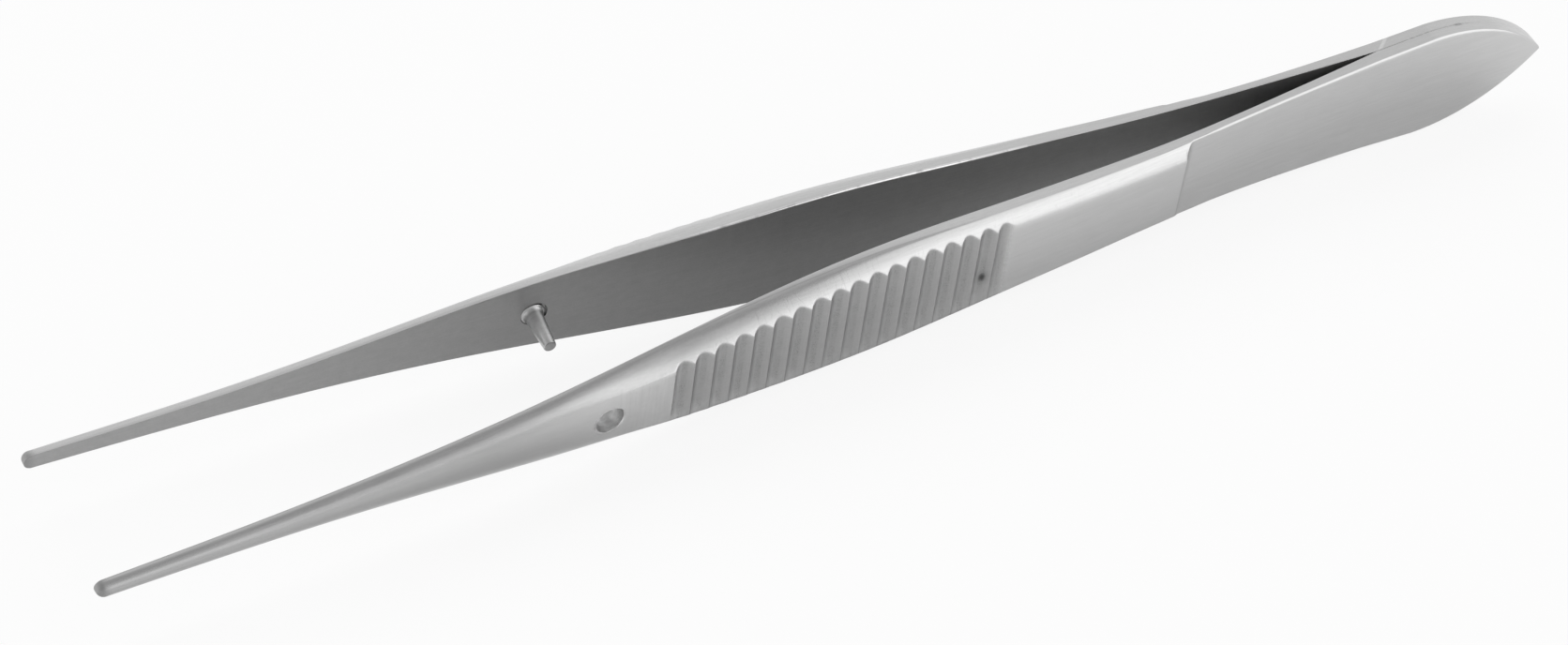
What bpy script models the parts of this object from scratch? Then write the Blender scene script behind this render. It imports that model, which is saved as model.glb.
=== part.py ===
# Thumb forceps: two spring arms welded at the tail, a grooved grip, and a guide pin
# that enters a hole in the other arm when the tips close.
#
# The forceps lies on its side. X runs along it towards the tips, Y across the opening,
# and Z across the width of the arms. "Station" means the distance from the tail's point.

import math

import bmesh
import bpy
import numpy as np
from mathutils import Matrix, Vector

MM = 0.001

# Zones along an arm, each one a distance from the end of the one before
WELD_LENGTH = 14.7 * MM
SPRING_LENGTH = 17.2 * MM
THUMB_REST_LENGTH = 14.58 * MM
GROOVE_COUNT = 18
GROOVE_PITCH = 1.517 * MM
GUIDE_OFFSET = 4.9 * MM
SHANK_LENGTH = 36.3 * MM

WELD_END = WELD_LENGTH
SHOULDER = WELD_END + SPRING_LENGTH
GRIP_START = SHOULDER + THUMB_REST_LENGTH
GRIP_END = GRIP_START + GROOVE_COUNT * GROOVE_PITCH
GUIDE = GRIP_END + GUIDE_OFFSET
TIP = GUIDE + SHANK_LENGTH

# Leaf-shaped tail
TAIL_HALF_WIDTH = 4.76 * MM
TAIL_WIDEST = 10.2 * MM
TAIL_ARC_RADIUS = 13.5 * MM
NOSE_HALF_WIDTH = 0.12 * MM
NOSE_THICKNESS = 0.82 * MM
WELD_THICKNESS = 0.99 * MM
SPRING_THICKNESS = 0.63 * MM
SPRING_END_THICKNESS = 0.70 * MM
TAIL_EDGE_BEVEL = 0.13 * MM

# Places between the ends of the zones
SPRING_WAIST_RUN = 8.3 * MM
HANDLE_START_RUN = 1.5 * MM
THUMB_REST_RUN = 7.0 * MM
GRIP_WIDEST_RUN = 10.6 * MM
GRIP_NARROWING_RUN = 7.2 * MM
SHANK_UPPER_RUN = 7.3 * MM
SHANK_LOWER_RUN = 19.3 * MM

# Form of an arm at named stations: station, half width, distance of the inner face from the
# middle plane, thickness at the middle of the width, height of the side face, chamfer's bulge
SECTIONS = (
    (SHOULDER + HANDLE_START_RUN, 3.72 * MM, 1.39 * MM, 1.45 * MM, 0.77 * MM, 0.04 * MM),
    (SHOULDER + THUMB_REST_RUN, 3.86 * MM, 1.72 * MM, 1.60 * MM, 0.84 * MM, 0.07 * MM),
    (GRIP_START, 4.17 * MM, 2.13 * MM, 1.72 * MM, 0.82 * MM, 0.12 * MM),
    (GRIP_START + GRIP_WIDEST_RUN, 4.56 * MM, 2.70 * MM, 1.91 * MM, 0.56 * MM, 0.19 * MM),
    (GRIP_END - GRIP_NARROWING_RUN, 4.06 * MM, 3.31 * MM, 2.07 * MM, 0.30 * MM, 0.22 * MM),
    (GRIP_END, 3.49 * MM, 3.98 * MM, 1.88 * MM, 0.15 * MM, 0.17 * MM),
    (GUIDE, 3.04 * MM, 4.43 * MM, 1.65 * MM, 0.14 * MM, 0.14 * MM),
    (GUIDE + SHANK_UPPER_RUN, 2.23 * MM, 4.86 * MM, 1.35 * MM, 0.13 * MM, 0.10 * MM),
    (GUIDE + SHANK_LOWER_RUN, 1.12 * MM, 5.18 * MM, 1.06 * MM, 0.11 * MM, 0.05 * MM),
    (TIP, 0.57 * MM, 5.61 * MM, 0.80 * MM, 0.09 * MM, 0.02 * MM),
)
SPRING_MIDDLE = (WELD_END + SPRING_WAIST_RUN, 4.02 * MM, 0.65 * MM)

# Shoulder, where the flat tail meets the chamfered handle
SHOULDER_RADIUS = 1.0 * MM
CHAMFER_WIDTH = 1.08 * MM
SIDE_RAMP = 5.5 * MM

# The chamfered handle turns into a shank with a rounded back
ROUNDING_LEAD = 2.0 * MM
ROUNDING_RUN = 9.0 * MM
ROUNDING_START = GRIP_END - ROUNDING_LEAD
ROUNDING_END = GRIP_END + ROUNDING_RUN
BACK_POWER = 2.3
TIP_END_SHARE = 0.15

# Grip: grooves across the facet, gentle on the tail's side and steep on the tips' side
GROOVE_DEPTH = 0.38 * MM
GROOVE_STEEP_RUN = 0.50 * MM
GENTLE_POWER = 1.15
STEEP_POWER = 4.0

# Guide pin, its seat in one arm and its hole in the other
GUIDE_HOLE_DIAMETER = 2.10 * MM
SEAT_DIAMETER = 2.05 * MM
SEAT_DEPTH = 0.25 * MM
PIN_LEAD = 0.30 * MM
PIN_DIAMETER = 1.30 * MM
PIN_ROOT_DIAMETER = 1.75 * MM
PIN_ROOT_HEIGHT = 0.30 * MM
PIN_END_DIAMETER = 0.88 * MM
PIN_PROJECTION = 3.10 * MM
PIN_END_CHAMFER = 0.10 * MM
PIN_SHANK_DIAMETER = 0.80 * MM
PIN_SHANK_CLEARANCE = 0.15 * MM
PIN_SHANK_SETBACK = 0.10 * MM
ROUND_SIDES = 32

# Rings along each zone of a lofted arm, and points round half of a ring
NOSE_RINGS = 15
NOSE_CROWDING = 1.5
WELD_RINGS = 4
SPRING_RINGS = 9
HOLLOW_RINGS = 12
HANDLE_RINGS = 24
SHANK_RINGS = 22
TIP_RINGS = 7
EDGE_STEPS = 6
GENTLE_STEPS = 2
STEEP_STEPS = 4
CURVE_SAMPLES = 101
CORNER_SHARE = 0.6
BACK_SHARE = 0.97

STEEL_COLOUR = (0.60, 0.60, 0.61, 1.0)
STEEL_ROUGHNESS = 0.38
PIN_COLOUR = (0.66, 0.66, 0.67, 1.0)
PIN_ROUGHNESS = 0.25

MIDDLE_HEIGHT = TAIL_HALF_WIDTH


def clear_scene():
    for old in list(bpy.data.objects):
        bpy.data.objects.remove(old, do_unlink=True)


def steel(name, colour, roughness):
    material = bpy.data.materials.new(name)
    material.use_nodes = True
    shader = material.node_tree.nodes["Principled BSDF"]
    shader.inputs["Base Color"].default_value = colour
    shader.inputs["Metallic"].default_value = 1.0
    shader.inputs["Roughness"].default_value = roughness
    return material


def smooth_curve(points):
    """A natural cubic spline through (station, value) points, as a function of the station."""
    x = np.array([p[0] for p in points])
    y = np.array([p[1] for p in points])
    gap = np.diff(x)
    slope = np.diff(y) / gap
    matrix = np.eye(len(x))
    right = np.zeros(len(x))
    for i in range(1, len(x) - 1):
        matrix[i, i - 1 : i + 2] = gap[i - 1], 2 * (gap[i - 1] + gap[i]), gap[i]
        right[i] = 6 * (slope[i] - slope[i - 1])
    bend = np.linalg.solve(matrix, right)

    def value(station):
        i = int(np.clip(np.searchsorted(x, station) - 1, 0, len(gap) - 1))
        before = station - x[i]
        after = x[i + 1] - station
        cubic = (bend[i] * after**3 + bend[i + 1] * before**3) / (6 * gap[i])
        left = (y[i] / gap[i] - bend[i] * gap[i] / 6) * after
        right_side = (y[i + 1] / gap[i] - bend[i + 1] * gap[i] / 6) * before
        return float(cubic + left + right_side)

    return value


def column(index):
    return tuple((row[0], row[index]) for row in SECTIONS)


width_curve = smooth_curve(((TAIL_WIDEST, TAIL_HALF_WIDTH), SPRING_MIDDLE[:2]) + column(1))
bow_curve = smooth_curve(((WELD_END, 0.0), SPRING_MIDDLE[::2]) + column(2))
thickness_curve = smooth_curve(column(3))
side_curve = smooth_curve(column(4))
bulge_curve = smooth_curve(column(5))
spring_curve = smooth_curve(
    (
        (WELD_END, WELD_THICKNESS),
        (SHOULDER - SPRING_LENGTH / 3, SPRING_THICKNESS),
        (SHOULDER, SPRING_END_THICKNESS),
    )
)


def ease(station, start, end):
    share = min(max((station - start) / (end - start), 0.0), 1.0)
    return share * share * (3 - 2 * share)


def inner_offset(station):
    """Distance of the inner face from the middle plane: none along the weld."""
    return bow_curve(station) if station > WELD_END else 0.0


def tail_arc(station):
    """Half width along the pointed tail, on a round arc from the nose to the widest place."""
    rise = TAIL_HALF_WIDTH - NOSE_HALF_WIDTH
    chord = math.hypot(TAIL_WIDEST, rise)
    sink = math.sqrt(TAIL_ARC_RADIUS**2 - chord**2 / 4)
    centre_x = TAIL_WIDEST / 2 + sink * rise / chord
    centre_z = NOSE_HALF_WIDTH + rise / 2 - sink * TAIL_WIDEST / chord
    return centre_z + math.sqrt(TAIL_ARC_RADIUS**2 - (station - centre_x) ** 2)


def tip_share(station):
    """Share of the width that is left where the tip is rounded off in a half circle."""
    run = (station - (TIP - SECTIONS[-1][1])) / SECTIONS[-1][1]
    if run <= 0.0:
        return 1.0
    return TIP_END_SHARE + (1 - TIP_END_SHARE) * math.sqrt(max(1 - run * run, 0.0))


def half_width(station):
    if station < TAIL_WIDEST:
        return tail_arc(station)
    return width_curve(station) * tip_share(station)


def thickness(station):
    """Thickness at the middle of the width, from the shoulder to the tip."""
    return thickness_curve(max(station, SHOULDER)) * (1 + tip_share(station)) / 2


def groove_profile():
    """(station, depth under the facet) points along all the grooves."""
    gentle_run = GROOVE_PITCH - GROOVE_STEEP_RUN
    points = []
    for groove in range(GROOVE_COUNT):
        ridge = GRIP_START + groove * GROOVE_PITCH
        for step in range(GENTLE_STEPS):
            share = step / GENTLE_STEPS
            depth = GROOVE_DEPTH * (1 - (1 - share) ** GENTLE_POWER)
            points.append((ridge + share * gentle_run, depth))
        for step in range(STEEP_STEPS):
            share = step / STEEP_STEPS
            depth = GROOVE_DEPTH * (1 - share**STEEP_POWER)
            points.append((ridge + gentle_run + share * GROOVE_STEEP_RUN, depth))
    return points + [(GRIP_END, 0.0)]


def shoulder_run():
    """Length of the hollow that rises from the flat tail to the facet."""
    rise = thickness(SHOULDER) - SPRING_END_THICKNESS
    return math.sqrt(SHOULDER_RADIUS**2 - (SHOULDER_RADIUS - rise) ** 2)


def outer_height(station):
    """Height over the inner face of the flat tail, the shoulder's hollow or the facet."""
    if station < WELD_END:
        return NOSE_THICKNESS + (WELD_THICKNESS - NOSE_THICKNESS) * station / WELD_LENGTH
    if station < SHOULDER:
        run = max(station - (SHOULDER - shoulder_run()), 0.0)
        return spring_curve(station) + SHOULDER_RADIUS - math.sqrt(SHOULDER_RADIUS**2 - run**2)
    return thickness(station)


def side_height(station):
    """Height of the side face: the tail's less its edge bevel, then up a ramp to the handle's."""
    handle = SECTIONS[0][0]
    full = side_curve(max(station, handle)) * tip_share(station)
    if station >= handle:
        return full
    bevel = min(TAIL_EDGE_BEVEL, half_width(station) / 2)
    tail = outer_height(min(station, SHOULDER - shoulder_run())) - bevel
    ramp = tail + (full - tail) * ease(station, handle - SIDE_RAMP, handle)
    return min(ramp, outer_height(station) - bevel / 2)


def outline(station):
    """(heights, half widths) from the side face's outer edge to the middle of the back."""
    width = half_width(station)
    top = thickness(station)
    side = side_height(station)
    share = np.linspace(0.0, 1.0, CURVE_SAMPLES)
    along = np.clip(share / CORNER_SHARE, 0.0, 1.0)
    beyond = np.clip((share - CORNER_SHARE) / (1 - CORNER_SHARE), 0.0, 1.0)
    chord = math.hypot(top - side, CHAMFER_WIDTH)
    bulge = bulge_curve(max(station, SHOULDER)) * 4 * along * (1 - along) / chord
    flat_heights = side + (top - side) * along + bulge * CHAMFER_WIDTH
    flat_widths = width - CHAMFER_WIDTH * along + bulge * (top - side) - (width - CHAMFER_WIDTH) * beyond
    round_heights = side + (top - side) * np.sin(share * math.pi / 2) ** (2 / BACK_POWER)
    round_widths = width * np.cos(share * math.pi / 2) ** (2 / BACK_POWER)
    round_part = ease(station, ROUNDING_START, ROUNDING_END)
    heights = flat_heights * (1 - round_part) + round_heights * round_part
    widths = flat_widths * (1 - round_part) + round_widths * round_part
    return share, heights, widths, round_part


def section(station):
    """(height, half width) points from the inner face's edge to the edge of the outer face."""
    cut = outer_height(station)
    share, heights, widths, round_part = outline(station)
    end = CORNER_SHARE + (BACK_SHARE - CORNER_SHARE) * math.sqrt(round_part)
    if station < SHOULDER:
        reach = int(np.argmax(heights >= cut))
        end = float(np.interp(cut, heights[reach - 1 : reach + 1], share[reach - 1 : reach + 1]))
    points = [(0.0, float(widths[0]))]
    for step in range(EDGE_STEPS + 1):
        at = end * step / EDGE_STEPS
        points.append((float(np.interp(at, share, heights)), float(np.interp(at, share, widths))))
    return points


def stations():
    """Stations of the loft, closer together where the form turns quickly."""
    hollow = SHOULDER - shoulder_run()
    rounding = TIP - SECTIONS[-1][1]
    quarter = np.linspace(0.0, math.pi / 2, TIP_RINGS)
    found = list(np.linspace(0.0, 1.0, NOSE_RINGS) ** NOSE_CROWDING * TAIL_WIDEST)
    found += list(np.linspace(TAIL_WIDEST, WELD_END, WELD_RINGS)[1:])
    found += list(np.linspace(WELD_END, hollow, SPRING_RINGS)[1:])
    found += list(np.linspace(hollow, SHOULDER, HOLLOW_RINGS)[1:])
    found += list(np.linspace(SHOULDER, GRIP_END, HANDLE_RINGS)[1:])
    found += list(np.linspace(GRIP_END, rounding, SHANK_RINGS)[1:])
    found += list(rounding + SECTIONS[-1][1] * np.sin(quarter)[1:])
    return found


def ring(station, side):
    """The closed outline of an arm at a station. side is 1 for the arm at +Y and -1 for the other."""
    base = inner_offset(station)
    half = section(station)
    outline = [(height, -width) for height, width in half]
    outline += [(height, width) for height, width in reversed(half)]
    return [
        Vector((station - TIP / 2, side * (base + height), MIDDLE_HEIGHT + across))
        for height, across in outline
    ]


def lofted_arm(name, side, material):
    shape = bmesh.new()
    rings = [[shape.verts.new(point) for point in ring(station, side)] for station in stations()]
    for first, second in zip(rings, rings[1:]):
        for i in range(len(first)):
            j = (i + 1) % len(first)
            shape.faces.new((first[i], first[j], second[j], second[i]))
    shape.faces.new(rings[0])
    shape.faces.new(rings[-1])
    bmesh.ops.recalc_face_normals(shape, faces=shape.faces)
    mesh = bpy.data.meshes.new(name)
    shape.to_mesh(mesh)
    shape.free()
    arm = bpy.data.objects.new(name, mesh)
    bpy.context.scene.collection.objects.link(arm)
    mesh.materials.append(material)
    mesh.shade_smooth()
    mesh.set_sharp_from_angle(angle=math.radians(25))
    return arm


def guide_axis(station, side):
    """A point on an arm's inner face at the station, and the direction that stands off that face."""
    step = 0.5 * MM
    slope = (inner_offset(station + step) - inner_offset(station - step)) / (2 * step)
    middle = Vector((station - TIP / 2, side * inner_offset(station), MIDDLE_HEIGHT))
    return middle, Vector((slope, -side, 0.0)).normalized()


def placement(middle, direction):
    """A matrix that takes the local Z axis to the direction and the origin to the middle."""
    return Matrix.Translation(middle) @ direction.to_track_quat("Z", "Y").to_matrix().to_4x4()


def turned(name, profile):
    """A round solid from (radius, height) points, turned about its local Z axis."""
    shape = bmesh.new()
    path = [shape.verts.new((0.0, 0.0, profile[0][1]))]
    path += [shape.verts.new((radius, 0.0, height)) for radius, height in profile]
    path += [shape.verts.new((0.0, 0.0, profile[-1][1]))]
    edges = [shape.edges.new(pair) for pair in zip(path, path[1:])]
    bmesh.ops.spin(
        shape,
        geom=path + edges,
        cent=(0.0, 0.0, 0.0),
        axis=(0.0, 0.0, 1.0),
        angle=2 * math.pi,
        steps=ROUND_SIDES,
        use_merge=True,
    )
    bmesh.ops.remove_doubles(shape, verts=shape.verts, dist=0.001 * MM)
    bmesh.ops.recalc_face_normals(shape, faces=shape.faces)
    mesh = bpy.data.meshes.new(name)
    shape.to_mesh(mesh)
    shape.free()
    made = bpy.data.objects.new(name, mesh)
    bpy.context.scene.collection.objects.link(made)
    return made


def cut_with(arm, cutter):
    cutter.hide_render = True
    cutter.display_type = "WIRE"
    cut = arm.modifiers.new(cutter.name, "BOOLEAN")
    cut.operation = "DIFFERENCE"
    cut.object = cutter


def cut_grooves(arm, side):
    """A comb that follows the facet and runs across the whole width takes out the grooves."""
    profile = groove_profile()
    clear = TAIL_HALF_WIDTH * 2
    edge = [
        (station - TIP / 2, side * (inner_offset(station) + thickness(station) - depth))
        for station, depth in profile
    ]
    first = (edge[0][0], edge[0][1] + side * clear)
    last = (edge[-1][0], edge[-1][1] + side * clear)
    edge = [first] + edge + [last]
    shape = bmesh.new()
    low = [shape.verts.new((x, y, MIDDLE_HEIGHT - clear)) for x, y in edge]
    high = [shape.verts.new((x, y, MIDDLE_HEIGHT + clear)) for x, y in edge]
    for i in range(len(edge)):
        j = (i + 1) % len(edge)
        shape.faces.new((low[i], low[j], high[j], high[i]))
    shape.faces.new(low)
    shape.faces.new(high)
    bmesh.ops.recalc_face_normals(shape, faces=shape.faces)
    mesh = bpy.data.meshes.new(arm.name + "_comb")
    shape.to_mesh(mesh)
    shape.free()
    comb = bpy.data.objects.new(arm.name + "_comb", mesh)
    bpy.context.scene.collection.objects.link(comb)
    cut_with(arm, comb)


def drill_guide_hole(arm):
    """A plain hole right through the arm, for the pin to enter."""
    middle, inward = guide_axis(GUIDE, 1)
    reach = thickness(GUIDE) * 2
    radius = GUIDE_HOLE_DIAMETER / 2
    drill = turned("guide_hole_drill", [(radius, -reach), (radius, reach)])
    drill.matrix_world = placement(middle, inward)
    cut_with(arm, drill)


def cut_pin_seat(arm):
    """A shallow round seat in the inner face, with a smaller hole for the shank through the arm."""
    middle, inward = guide_axis(GUIDE + PIN_LEAD, -1)
    reach = thickness(GUIDE) * 2
    shank = PIN_SHANK_DIAMETER / 2 + PIN_SHANK_CLEARANCE
    seat = SEAT_DIAMETER / 2
    profile = [(shank, -reach), (shank, -SEAT_DEPTH), (seat, -SEAT_DEPTH), (seat, reach)]
    drill = turned("pin_seat_drill", profile)
    drill.matrix_world = placement(middle, inward)
    cut_with(arm, drill)


def make_guide_pin(material):
    """A tapered pin that stands on its seat, with a thinner shank to the arm's outer face."""
    middle, inward = guide_axis(GUIDE + PIN_LEAD, -1)
    foot = PIN_DIAMETER / 2
    root = PIN_ROOT_DIAMETER / 2
    end = PIN_END_DIAMETER / 2
    shank = PIN_SHANK_DIAMETER / 2
    back = PIN_SHANK_SETBACK - thickness(GUIDE)
    profile = [
        (shank, back),
        (shank, -SEAT_DEPTH),
        (root, -SEAT_DEPTH),
        (root, -SEAT_DEPTH / 2),
        (foot + (root - foot) / 3, PIN_ROOT_HEIGHT / 3),
        (foot, PIN_ROOT_HEIGHT),
        (end + PIN_END_CHAMFER / 2, PIN_PROJECTION - PIN_END_CHAMFER),
        (end - PIN_END_CHAMFER / 2, PIN_PROJECTION),
    ]
    pin = turned("guide_pin", profile)
    pin.matrix_world = placement(middle, inward)
    pin.data.materials.append(material)
    pin.data.shade_smooth()
    pin.data.set_sharp_from_angle(angle=math.radians(30))
    return pin


def main():
    clear_scene()
    brushed = steel("brushed_steel", STEEL_COLOUR, STEEL_ROUGHNESS)
    ground = steel("ground_pin_steel", PIN_COLOUR, PIN_ROUGHNESS)
    near_arm = lofted_arm("arm_with_hole", 1, brushed)
    cut_grooves(near_arm, 1)
    drill_guide_hole(near_arm)
    far_arm = lofted_arm("arm_with_pin", -1, brushed)
    cut_grooves(far_arm, -1)
    cut_pin_seat(far_arm)
    make_guide_pin(ground)


main()
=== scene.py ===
# Thumb forceps, dressed: two brushed steel arms with ground chamfers and a milled grip,
# a turned guide pin, and a pale studio floor.
#
# The forceps lies on its side. X runs towards the tips, Y across the opening and Z across
# the width of the arms. "Station" means the distance from the tail's point.

import math

import bmesh
import bpy
import numpy as np
from mathutils import Matrix, Vector


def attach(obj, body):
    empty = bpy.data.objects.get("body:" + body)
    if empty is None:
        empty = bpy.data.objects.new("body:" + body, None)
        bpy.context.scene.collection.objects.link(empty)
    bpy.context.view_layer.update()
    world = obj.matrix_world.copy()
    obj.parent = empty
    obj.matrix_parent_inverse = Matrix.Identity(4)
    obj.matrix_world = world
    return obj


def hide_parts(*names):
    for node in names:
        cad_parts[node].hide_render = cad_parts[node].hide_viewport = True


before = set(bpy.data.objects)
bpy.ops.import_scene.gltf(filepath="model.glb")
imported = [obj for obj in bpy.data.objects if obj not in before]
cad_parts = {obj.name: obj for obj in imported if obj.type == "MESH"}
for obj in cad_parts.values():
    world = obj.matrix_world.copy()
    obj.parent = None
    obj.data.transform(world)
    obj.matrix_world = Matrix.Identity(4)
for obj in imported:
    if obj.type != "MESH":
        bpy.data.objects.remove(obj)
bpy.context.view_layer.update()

MM = 0.001

# Zones along an arm
WELD_END = 14.7 * MM
SHOULDER = WELD_END + 17.2 * MM
GRIP_START = SHOULDER + 14.58 * MM
GROOVE_COUNT = 18
GROOVE_PITCH = 1.517 * MM
GRIP_END = GRIP_START + GROOVE_COUNT * GROOVE_PITCH
GUIDE = GRIP_END + 4.9 * MM
TIP = GUIDE + 36.3 * MM

# Leaf-shaped tail
TAIL_HALF_WIDTH = 4.76 * MM
TAIL_WIDEST = 10.2 * MM
TAIL_ARC_RADIUS = 13.5 * MM
NOSE_HALF_WIDTH = 0.12 * MM
NOSE_THICKNESS = 0.82 * MM
WELD_THICKNESS = 0.99 * MM
SPRING_THICKNESS = 0.63 * MM
SPRING_END_THICKNESS = 0.70 * MM
TAIL_EDGE_BEVEL = 0.13 * MM
MIDDLE_HEIGHT = TAIL_HALF_WIDTH

# Form of an arm at named stations: station, half width, distance of the inner face from the
# middle plane, thickness at the middle of the width, height of the side face, chamfer's bulge
SECTIONS = (
    (SHOULDER + 1.5 * MM, 3.72 * MM, 1.39 * MM, 1.45 * MM, 0.77 * MM, 0.04 * MM),
    (SHOULDER + 7.0 * MM, 3.86 * MM, 1.72 * MM, 1.60 * MM, 0.84 * MM, 0.07 * MM),
    (GRIP_START, 4.17 * MM, 2.13 * MM, 1.72 * MM, 0.82 * MM, 0.12 * MM),
    (GRIP_START + 10.6 * MM, 4.56 * MM, 2.70 * MM, 1.91 * MM, 0.56 * MM, 0.19 * MM),
    (GRIP_END - 7.2 * MM, 4.06 * MM, 3.31 * MM, 2.07 * MM, 0.30 * MM, 0.22 * MM),
    (GRIP_END, 3.49 * MM, 3.98 * MM, 1.88 * MM, 0.15 * MM, 0.17 * MM),
    (GUIDE, 3.04 * MM, 4.43 * MM, 1.65 * MM, 0.14 * MM, 0.14 * MM),
    (GUIDE + 7.3 * MM, 2.23 * MM, 4.86 * MM, 1.35 * MM, 0.13 * MM, 0.10 * MM),
    (GUIDE + 19.3 * MM, 1.12 * MM, 5.18 * MM, 1.06 * MM, 0.11 * MM, 0.05 * MM),
    (TIP, 0.57 * MM, 5.61 * MM, 0.80 * MM, 0.09 * MM, 0.02 * MM),
)
SPRING_MIDDLE = (WELD_END + 8.3 * MM, 4.02 * MM, 0.65 * MM)

# Shoulder, chamfer and the turn into a rounded back
SHOULDER_RADIUS = 1.0 * MM
CHAMFER_WIDTH = 1.08 * MM
SIDE_RAMP = 5.5 * MM
ROUNDING_START = GRIP_END - 2.0 * MM
ROUNDING_END = GRIP_END + 9.0 * MM
BACK_POWER = 2.3
TIP_END_SHARE = 0.03
TIP_END_THICKNESS = 0.42

# Grip grooves: round floors, a little steeper on the tips' side, and narrow flat ridges
GROOVE_DEPTH = 0.325 * MM
FIRST_GROOVE_SHARE = 0.88
GROOVE_STEEP_RUN = 0.57 * MM
GENTLE_POWER = 1.3
STEEP_POWER = 0.9
RIDGE_WIDTH = 0.06 * MM
RIDGE_BLEND = 0.04 * MM
GRIP_FADE_TAIL = 1.1 * MM
GRIP_FADE_TIPS = 0.7 * MM
FLOOR_SEEP = 1.4
GROOVE_FADE = 0.7 * MM
GROOVE_FADE_REACH = 1.6 * GROOVE_FADE
GROOVE_FADE_SHARE = 0.6

# Guide pin, its seat and its hole
GUIDE_HOLE_DIAMETER = 2.10 * MM
SEAT_DIAMETER = 1.96 * MM
SEAT_DEPTH = 0.25 * MM
SEAT_SHIFT = 0.10 * MM  # towards the tail, of the seat and of the shank's hole with it
PIN_LEAD = 0.30 * MM
PIN_DIAMETER = 1.30 * MM
PIN_ROOT_DIAMETER = 1.75 * MM
PIN_ROOT_HEIGHT = 0.30 * MM
PIN_END_DIAMETER = 0.88 * MM
PIN_PROJECTION = 3.10 * MM
PIN_SHANK_DIAMETER = 0.80 * MM
PIN_SHANK_CLEARANCE = 0.15 * MM
PIN_SHANK_SETBACK = 0.10 * MM
PIN_EDGE_ROUND = 0.09 * MM
PIN_EDGE_POINTS = 5
PIN_END_CORE = 0.02 * MM
ROUND_SIDES = 96
MERGE_DISTANCE = 0.0005 * MM

# Y of the pin's end face and of the top of its root, for the painted shade on them
PIN_FACE = -1.38 * MM
PIN_ROOT_FACE = -4.15 * MM

# Fine edges
EDGE_ROUND = 0.06 * MM
NOSE_ROUND = 0.08 * MM
INNER_ROUND = 0.05 * MM
SEAM_ROUND = 0.03 * MM
TIGHT_ROUND = 0.012 * MM
SEAM_START = 8.0 * MM
HOLE_LIP = 0.05 * MM
SEAT_LIP = 0.015 * MM
WORN_START = 44.0 * MM
WORN_END = 66.0 * MM
WORN_FADE = 6.0 * MM
WORN_ROUND = 0.14 * MM

# Rings near the tail's nose, in each part of a groove as (share of the pitch, rings), and
# round the tip
NOSE_RINGS = 7
GROOVE_RINGS = ((0.12, 4), (0.86, 10), (1.0, 4))
TIP_RINGS = 19

# Steps along an arm at which the readings for its finish are worked out
READING_STEPS = 9200

# Points round half a section
INNER_POINTS = 5
CORNER_POINTS = 4
LEAD_POINTS = 4
CHAMFER_POINTS = 26
BACK_POINTS = 9
CORNER_SHARE = 0.6
EDGE_SUPPORT = 0.6
CHAMFER_LEAD = 0.05 * MM

# Places of the marks and of the painted shade and light: stations along an arm and the distance across
# from its middle, in millimetres, as the material reads them. Those in a groove are shares of the pitch
SHANK_SHADE_RUN = (74.0, 88.0)
BESIDE_GRIP = (40.0, 70.0)
WALL_SHADE_PLACE = (0.915, 0.965)
FLOOR_PITS = (0.37, 0.52)
TOOL_MARKS = (73.8, 77.6)
ROUND_PIT = (48.62, -1.03)
SEAM = (6.6, 14.4)
SEAM_PIT = (7.6, 7.9)
NICK_GLINT = (14.35, 14.55)
LIGHTER_TAIL = (20.0, 80.0)
TIP_END = (TIP / MM - 1.1, TIP / MM - 0.2)

# Brightness and roughness of the steel, and the share of brightness that each zone or mark takes away
# (DARK and DULL) or adds (LIGHT). The darkening of the inner faces, the shank, the tip ends, the
# shoulder's line, the grip, its steep walls and the pin's seat is wholly or partly painted shade, and
# the lightening of the inner faces towards the tail and of the grip's lower part is painted light
STEEL_BRIGHTNESS = 0.70
STEEL_ROUGHNESS = 0.24
INNER_FACE_DULL_AND_SHADE = 0.37
INNER_TAIL_PAINTED_LIGHT = 0.30
SHANK_SHADE_DARK = 0.29
TIP_END_DARK = 0.30
SHOULDER_LINE_DARK = 0.52
GRIP_DARK = 0.33
GRIP_LOWER_PAINTED_LIGHT = 0.17
WALL_SHADE_DARK = 0.34
FLOOR_PITS_DARK = 0.26
PIT_CORE_DARK = 0.68
PIT_RIM_DARK = 0.26
WORN_EDGE_LIGHT = 0.45
SEAT_SHADE_DARK = 0.46
PIN_BRIGHTNESS = 0.76
PIN_ROUGHNESS = 0.33

# Angles in degrees over which an edge isn't smoothed
ARM_SHARP_ANGLE = 35
PIN_SHARP_ANGLE = 60


def smooth_curve(points):
    """A natural cubic spline through (station, value) points, as a function of the station."""
    x = np.array([p[0] for p in points])
    y = np.array([p[1] for p in points])
    gap = np.diff(x)
    slope = np.diff(y) / gap
    matrix = np.eye(len(x))
    right = np.zeros(len(x))
    for i in range(1, len(x) - 1):
        matrix[i, i - 1 : i + 2] = gap[i - 1], 2 * (gap[i - 1] + gap[i]), gap[i]
        right[i] = 6 * (slope[i] - slope[i - 1])
    bend = np.linalg.solve(matrix, right)

    def value(station):
        i = int(np.clip(np.searchsorted(x, station) - 1, 0, len(gap) - 1))
        before = station - x[i]
        after = x[i + 1] - station
        cubic = (bend[i] * after**3 + bend[i + 1] * before**3) / (6 * gap[i])
        left = (y[i] / gap[i] - bend[i] * gap[i] / 6) * after
        right_side = (y[i + 1] / gap[i] - bend[i + 1] * gap[i] / 6) * before
        return float(cubic + left + right_side)

    return value


def column(index):
    return tuple((row[0], row[index]) for row in SECTIONS)


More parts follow.
